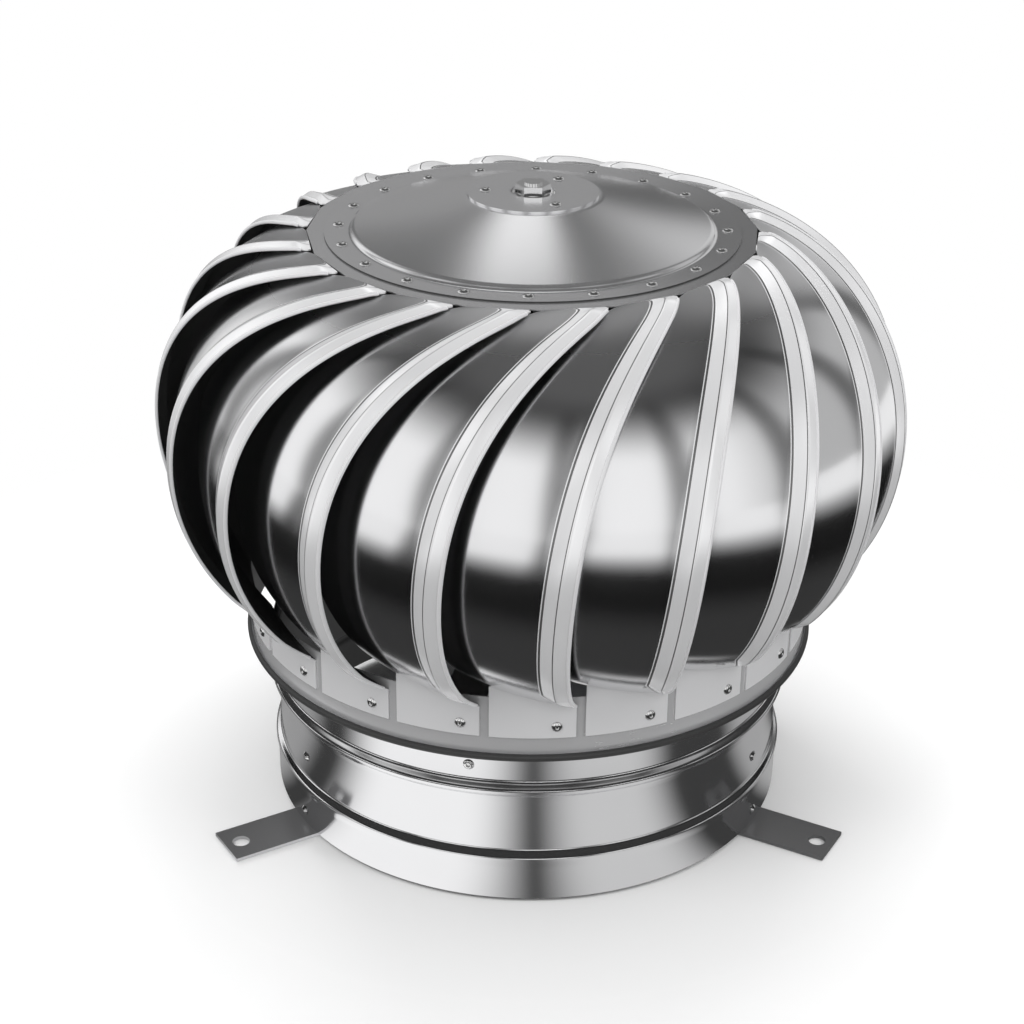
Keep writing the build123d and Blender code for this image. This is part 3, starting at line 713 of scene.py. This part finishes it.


# %% [markdown]
# ## Finishes
#
# Everything here is stainless steel or aluminium, so colour says little and the finish
# says everything.  The vanes and the throat are polished nearly to a mirror, with faint
# lines from rolling and smears from handling; the vanes turn duller towards the crown.
# Their folded lips and tabs are paler and more diffuse, with painted shade in the folds at each
# lip's foot.  The crown is satin with turned rings, the feet are plain strap, the inner brackets
# are dull sheet, and the inner sides of all the sheets are painted near black as painted shade.
#
# An image could paint all this, but noise in the piece's own coordinates needs no
# unwrapping and has no seam round a tube, so each finish is made from noise.

# %% Metal finishes
PATCH_SCALE, RIPPLE_SCALE, RING_SCALE = (9, 9, 9), (14, 14, 14), 1400.0
PATCH_DARK = 0.90
GRAIN_DEPTH = 0.00002
DULL_FROM, DULL_RUN = 0.322, 0.018


def metal(name, colour, rough, grain, grain_scale, smear, metallic=1.0, ripple=0.0, dull_top=0.0):
    """Steel with a fine grain, patchy roughness and a slow ripple in millimetres.

    The grain's scale is for each axis, and no scale stands for rings round the shaft.
    """
    finish = Finish(name)
    fine = finish.noise(grain_scale, 4.0) if grain_scale else finish.rings(RING_SCALE)
    patch = finish.noise(PATCH_SCALE, 3.0)
    slow = finish.noise(RIPPLE_SCALE, 1.0)
    dark, pale = (*(c * PATCH_DARK for c in colour), 1), (*colour, 1)
    mix = {"data_type": "RGBA"}
    finish.feed("Base Color", finish.node("ShaderNodeMix", mix, 2, _0=patch, _6=dark, _7=pale))
    finish.feed("Metallic", metallic)
    roughness = rough + (patch - 0.5) * smear + (fine - 0.5) * grain
    if dull_top:
        height = finish.parts()[2]
        roughness = roughness + ((height - DULL_FROM) / DULL_RUN).clamped() * dull_top
    finish.feed("Roughness", roughness.clamped())
    relief = fine * (grain * GRAIN_DEPTH) + slow * (ripple * MM)
    finish.feed("Normal", finish.node("ShaderNodeBump", Strength=1.0, Distance=1.0, Height=relief))
    return finish.material


def grey(tone, blue=0.0):
    """A neutral metal colour, a little bluer where steel is bare."""
    return tone, tone, tone + blue


BARE = 0.01
ROLLED_UP, ROLLED_ROUND = (300, 300, 30), (40, 40, 300)
ALONG_BAND, ALONG_TAB = (120, 120, 600), (120, 120, 900)
polished = metal(
    "polished_sheet", grey(0.86, BARE), 0.15, 0.02, ROLLED_UP, 0.06, ripple=0.10, dull_top=0.28
)
throat_polish = metal(
    "throat_sheet", grey(0.86, BARE), 0.14, 0.015, ROLLED_ROUND, 0.05, ripple=0.06
)
mill = metal("mill_sheet", grey(0.80, BARE), 0.42, 0.10, ALONG_TAB, 0.10, 0.35)
folded = metal("folded_sheet", grey(0.90, BARE), 0.24, 0.02, (200, 200, 200), 0.06, 0.45)
rolled = metal("rolled_band", grey(0.84, BARE), 0.26, 0.03, ALONG_BAND, 0.08, 0.62)
# near black on the inner sides of every sheet: painted shade for the shadow inside
inside = metal("painted_shade_inside", grey(0.07), 0.50, 0.08, (300, 300, 300), 0.10, 0.6)
# dark grey on the faces in the lip's folds: painted shade, not dirt
crease_shade = metal("painted_crease_shade", grey(0.22), 0.40, 0.04, (300, 300, 300), 0.10, 0.8)
satin = metal("satin_sheet", grey(0.80, BARE), 0.20, 0.05, None, 0.05, 0.92)
strap = metal("strap_steel", grey(0.58, BARE), 0.34, 0.03, (500, 500, 500), 0.08, 0.85)
dull = metal("bracket_sheet", (0.55, 0.56, 0.57), 0.42, 0.08, (300, 300, 300), 0.08)
bright = metal("bright_steel", grey(0.85), 0.18, 0.02, (400, 400, 400), 0.06)
print("finishes:", len(bpy.data.materials))


# %% Which piece gets which finish
NODE_SHARP = 30


def dress(piece, *materials):
    """Give a piece its finishes and keep the mark that each face already has."""
    marks = [face.material_index for face in piece.data.polygons]
    piece.data.materials.clear()
    for material in materials:
        piece.data.materials.append(material)
    if len(materials) > 1:
        piece.data.polygons.foreach_set("material_index", marks)


# each vane's inside and crease faces take the painted shade finishes
for blade, tab in vanes:
    dress(blade, polished, mill, folded, inside, mill, crease_shade)
    dress(tab, satin)
# the inner sides of throat, collar, band and crown get the painted shade too
for piece in (throat, collar):
    dress(piece, throat_polish, inside)
dress(band, rolled, inside)
dress(crown, satin, inside)
for piece in rivets:
    dress(piece, bright)

finish_of = {"cap_disc": satin}
for end in ("left", "right", "rear"):
    finish_of[f"leg_{end}"] = strap
for height in ("lower", "upper"):
    finish_of[f"{height}_spider"] = finish_of[f"{height}_bearing_housing"] = dull
finish_of["rotor_spider"] = dull
for node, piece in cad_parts.items():
    dress(piece, finish_of.get(node, bright))
    piece.data.shade_smooth()
    piece.data.set_sharp_from_angle(angle=radians(NODE_SHARP))
print("dressed solids:", len(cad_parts))

# %% [markdown]
# ## Studio
#
# Polished metal is a picture of the room around it.  The floor is pale and fades into a
# white background.  A white room alone would make the steel look like plaster, so round
# the piece stands a second, dim room that only the metal sees: the light tent below.

# %% Floor and world
def stage_mesh(name, verts, faces, look):
    """A piece of the studio, in metres, that is no part of the model."""
    mesh = bpy.data.meshes.new(name)
    mesh.from_pydata([Vector(v) for v in verts], [], faces)
    piece = bpy.data.objects.new(name, mesh)
    bpy.context.scene.collection.objects.link(piece)
    mesh.materials.append(look.material)
    return piece


FLOOR_HALF, FLOOR_GAP = 4.0, 0.0005
FADE_FROM, FADE_RUN = 0.24, 0.30
SKY_LIGHT = 0.80

floor_look = Finish("studio_floor")
floor_look.feed("Base Color", (0.90, 0.90, 0.90, 1))
floor_look.feed("Roughness", 0.9)
floor_look.feed("Specular IOR Level", 0.0)
away = floor_look.node(
    "ShaderNodeVectorMath", {"operation": "LENGTH"}, "Value", _0=floor_look.where()
)
fade = ((away - FADE_FROM) / FADE_RUN).clamped()
clear = floor_look.node("ShaderNodeBsdfTransparent")
matt_shader = Socket(floor_look.tree, floor_look.shader.outputs[0])
mixed = floor_look.node("ShaderNodeMixShader", _0=fade, _1=matt_shader, _2=clear)
surface = floor_look.tree.nodes["Material Output"].inputs["Surface"]
join(floor_look.tree, surface, mixed)
floor_z = cad_low[2] - FLOOR_GAP
signs = [(-1, -1), (1, -1), (1, 1), (-1, 1)]
corners = [(a * FLOOR_HALF, b * FLOOR_HALF, floor_z) for a, b in signs]
stage_mesh("studio_floor", corners, [(0, 1, 2, 3)], floor_look)

world = bpy.data.worlds.new("studio")
world.use_nodes = True
bpy.context.scene.world = world
sky = Tree(world.node_tree)
kinds = ("Camera", "Glossy", "Transmission")
camera_ray, glossy_ray, through_ray = (
    sky.node("ShaderNodeLightPath", output=f"Is {kind} Ray") for kind in kinds
)
seen = (camera_ray + glossy_ray + through_ray).clamped()
background = sky.tree.nodes["Background"].inputs
join(sky.tree, background["Strength"], SKY_LIGHT + seen * (1 - SKY_LIGHT))
join(sky.tree, background["Color"], (1, 1, 1, 1))
print("floor at", round(floor_z / MM, 2), "mm")

# %% Camera
SENSOR_MM = 36.0
FOCAL_PX = 2158.5
IMAGE_PX = 1024
CAMERA_BACK, CAMERA_UP = 1.1381, 0.7303
PITCH_DOWN, YAW, ROLL = 26.32, -0.51, 0.47

camera_data = bpy.data.cameras.new("camera")
camera_data.sensor_width = SENSOR_MM
camera_data.lens = FOCAL_PX / IMAGE_PX * SENSOR_MM
camera = bpy.data.objects.new("camera", camera_data)
bpy.context.scene.collection.objects.link(camera)
forward = Vector((sin(radians(YAW)), cos(radians(YAW)), 0)) * cos(radians(PITCH_DOWN))
forward.z = -sin(radians(PITCH_DOWN))
level = Vector((cos(radians(YAW)), -sin(radians(YAW)), 0))
upward = level.cross(forward)
right = level * cos(radians(ROLL)) + upward * sin(radians(ROLL))
up = upward * cos(radians(ROLL)) - level * sin(radians(ROLL))
camera.matrix_world = Matrix(
    (
        (right.x, up.x, -forward.x, 0.0),
        (right.y, up.y, -forward.y, -CAMERA_BACK),
        (right.z, up.z, -forward.z, CAMERA_UP),
        (0, 0, 0, 1),
    )
)
bpy.context.scene.camera = camera
bpy.context.scene.view_settings.view_transform = "Standard"
print("lens", round(camera_data.lens, 1), "mm")


# %% Lamps
LAMP_TARGET = Vector((0, 0, 0.18))


def lamp(name, azimuth, reach, height, size, power):
    """A soft lamp at a direction, distance and height, aimed at the middle."""
    data = bpy.data.lights.new(name, "AREA")
    data.shape, data.size, data.size_y, data.energy = "RECTANGLE", size[0], size[1], power
    piece = bpy.data.objects.new(name, data)
    bpy.context.scene.collection.objects.link(piece)
    piece.location = polar(reach, azimuth, height)
    piece.rotation_euler = (LAMP_TARGET - piece.location).to_track_quat("-Z", "Y").to_euler()
    piece.visible_glossy = False


lamp("key", -130, 1.2, 1.5, (0.5, 0.8), 9)
lamp("side", -35, 1.3, 0.9, (0.3, 0.9), 5)
lamp("top", 80, 0.6, 1.6, (1.0, 0.5), 9)
lamp("back", 120, 1.3, 0.9, (0.3, 0.9), 5)
print("lamps:", len(bpy.data.lights))

# %% [markdown]
# ## The light tent
#
# A mirror needs something to show, so polished metal is stood in a tent of cloth and dark
# strips.  Here it is three pieces that only reflections see.  The dome has ten
# bright strips between dark ones round its foot, a dim top, and one small bright spot high
# behind for the crown's cone.  The ring of floor has pale cards near the throat, which the
# throat and collar show as upright streaks, and strips again farther out.  A black card
# lies under the globe, because the lower halves of the vanes look down and would otherwise
# show the bright floor; its inner edge glows for the band.
#
# Real lamps could light such strips, but their sizes and gaps would then change the shadows
# as well.  Surfaces that glow only in reflections change nothing else.

# %% Strips of light and dark
STRIP_TURN = radians(7)
STRIP_EDGE = (-0.06, 0.42)


def tent_piece(name, verts, faces, look):
    piece = stage_mesh(name, verts, faces, look)
    piece.visible_camera = False
    piece.visible_shadow = False
    piece.visible_diffuse = False
    look.material.cycles.emission_sampling = "NONE"
    return piece


def smooth_step(value, low, high):
    """0 below low and 1 above high, with a soft rise between."""
    share = ((value - low) / (high - low)).clamped()
    return share * share * (3 - 2 * share)


def sector(azimuth, middle, inner, outer):
    """1 within inner degrees of a direction, falling to 0 at outer degrees."""
    near = (azimuth - radians(middle)).cosine()
    return smooth_step(near, cos(radians(outer)), cos(radians(inner)))


def strips(azimuth):
    """Bright strips round the horizon, one for every second vane."""
    wave = 0.5 - 0.5 * ((azimuth - STRIP_TURN) * (VANES / 2)).cosine()
    return smooth_step(wave, *STRIP_EDGE)


def glow(look, level):
    """Make a finish black except for its own grey light."""
    look.feed("Base Color", (0, 0, 0, 1))
    look.feed("Specular IOR Level", 0.0)
    paint = look.node("ShaderNodeCombineColor", _0=level, _1=level, _2=level)
    look.feed("Emission Color", paint)
    look.feed("Emission Strength", 1.0)


def round_shaft(look):
    """Distance from the shaft and direction round it, over a stage piece."""
    x, y, _ = look.parts()
    return (x * x + y * y) ** 0.5, x.math("ARCTAN2", y, x)


# direction, half width of the full part, half width in all, brightness
CARDS = [(-122, 12, 36, 1.0), (-64, 5, 25, 0.6), (-2, 4, 18, 0.35), (176, 5, 22, 0.3)]
CARDS += [(92, 12, 38, 0.8), (42, 4, 18, 0.4), (136, 4, 18, 0.4)]
CARD_GAP = 0.03


def cards(azimuth):
    """Pale cards on the floor round the throat, wide and narrow, with dark between."""
    level = CARD_GAP
    for middle, inner, outer, bright_level in CARDS:
        level = level + bright_level * sector(azimuth, middle, inner, outer)
    return level


# %% The dome
# heights on the dome are shares of its radius
TENT_R, DOME_RINGS, SPOKES = 2.4, 24, 72
SIDE_FADE, ZENITH_FADE = (0.55, 0.93), (0.85, 0.97)
SPOT_LOW, SPOT_HIGH, SPOT_AT = (0.68, 0.78), (0.84, 0.92), (93, 5, 15)
REAR, FLANK = (100, 20, 36), (15, 32, 72)

tent_look = Finish("tent")
_, azimuth = round_shaft(tent_look)
lift = tent_look.parts()[2] / TENT_R
side = 1 - smooth_step(lift, *SIDE_FADE)
zenith = smooth_step(lift, *ZENITH_FADE) * 0.08
spot = smooth_step(lift, *SPOT_LOW) * (1 - smooth_step(lift, *SPOT_HIGH))
spot = spot * sector(azimuth, *SPOT_AT) * 1.1
shade = (1 - 0.76 * sector(azimuth, *REAR)) * (1 - 0.50 * sector(azimuth, *FLANK))
glow(tent_look, 0.03 + side * (0.15 + 0.85 * strips(azimuth)) * shade + zenith + spot)


def ring(r, z):
    return [polar(r, 360 * j / SPOKES, z) for j in range(SPOKES)]


def ring_faces(rings):
    """Faces between each ring of points and the next."""
    faces = []
    for i in range(rings - 1):
        for j in range(SPOKES):
            k = (j + 1) % SPOKES
            low, high = i * SPOKES, (i + 1) * SPOKES
            faces.append((low + j, low + k, high + k, high + j))
    return faces


dome = []
for i in range(DOME_RINGS + 1):
    angle = radians(90 * i / DOME_RINGS)
    dome += ring(TENT_R * cos(angle), TENT_R * sin(angle))
tent_piece("tent_dome", dome, ring_faces(DOME_RINGS + 1), tent_look)

# %% The floor ring
RING_IN, RING_LIFT = 0.02, 0.0002
NEAR_FADE, FAR_FADE = (0.29, 0.37), (0.60, 1.05)

floor_glow = Finish("tent_floor")
reach, azimuth = round_shaft(floor_glow)
near = 1 - smooth_step(reach, *NEAR_FADE)
far = smooth_step(reach, *FAR_FADE) * (1 - 0.80 * sector(azimuth, *REAR))
glow(floor_glow, 0.02 + near * cards(azimuth) + far * (0.06 + 0.90 * strips(azimuth)))
ring_z = floor_z + RING_LIFT
tent_piece("tent_floor", ring(RING_IN, ring_z) + ring(TENT_R, ring_z), ring_faces(2), floor_glow)

# %% The black card under the globe
CARD_IN, CARD_OUT, CARD_Z = 0.171, 0.46, 0.098
EDGE_FADE, CARD_FADE = (0.1725, 0.179), (0.24, 0.33)

card_look = Finish("tent_card")
reach, azimuth = round_shaft(card_look)
edge = 0.60 * cards(azimuth) * (1 - smooth_step(reach, *EDGE_FADE))
glow(card_look, 0.010 + 0.030 * (1 - smooth_step(reach, *CARD_FADE)) + edge)
tent_piece("tent_card", ring(CARD_IN, CARD_Z) + ring(CARD_OUT, CARD_Z), ring_faces(2), card_look)
print("tent pieces:", [look.material.name for look in (tent_look, floor_glow, card_look)])
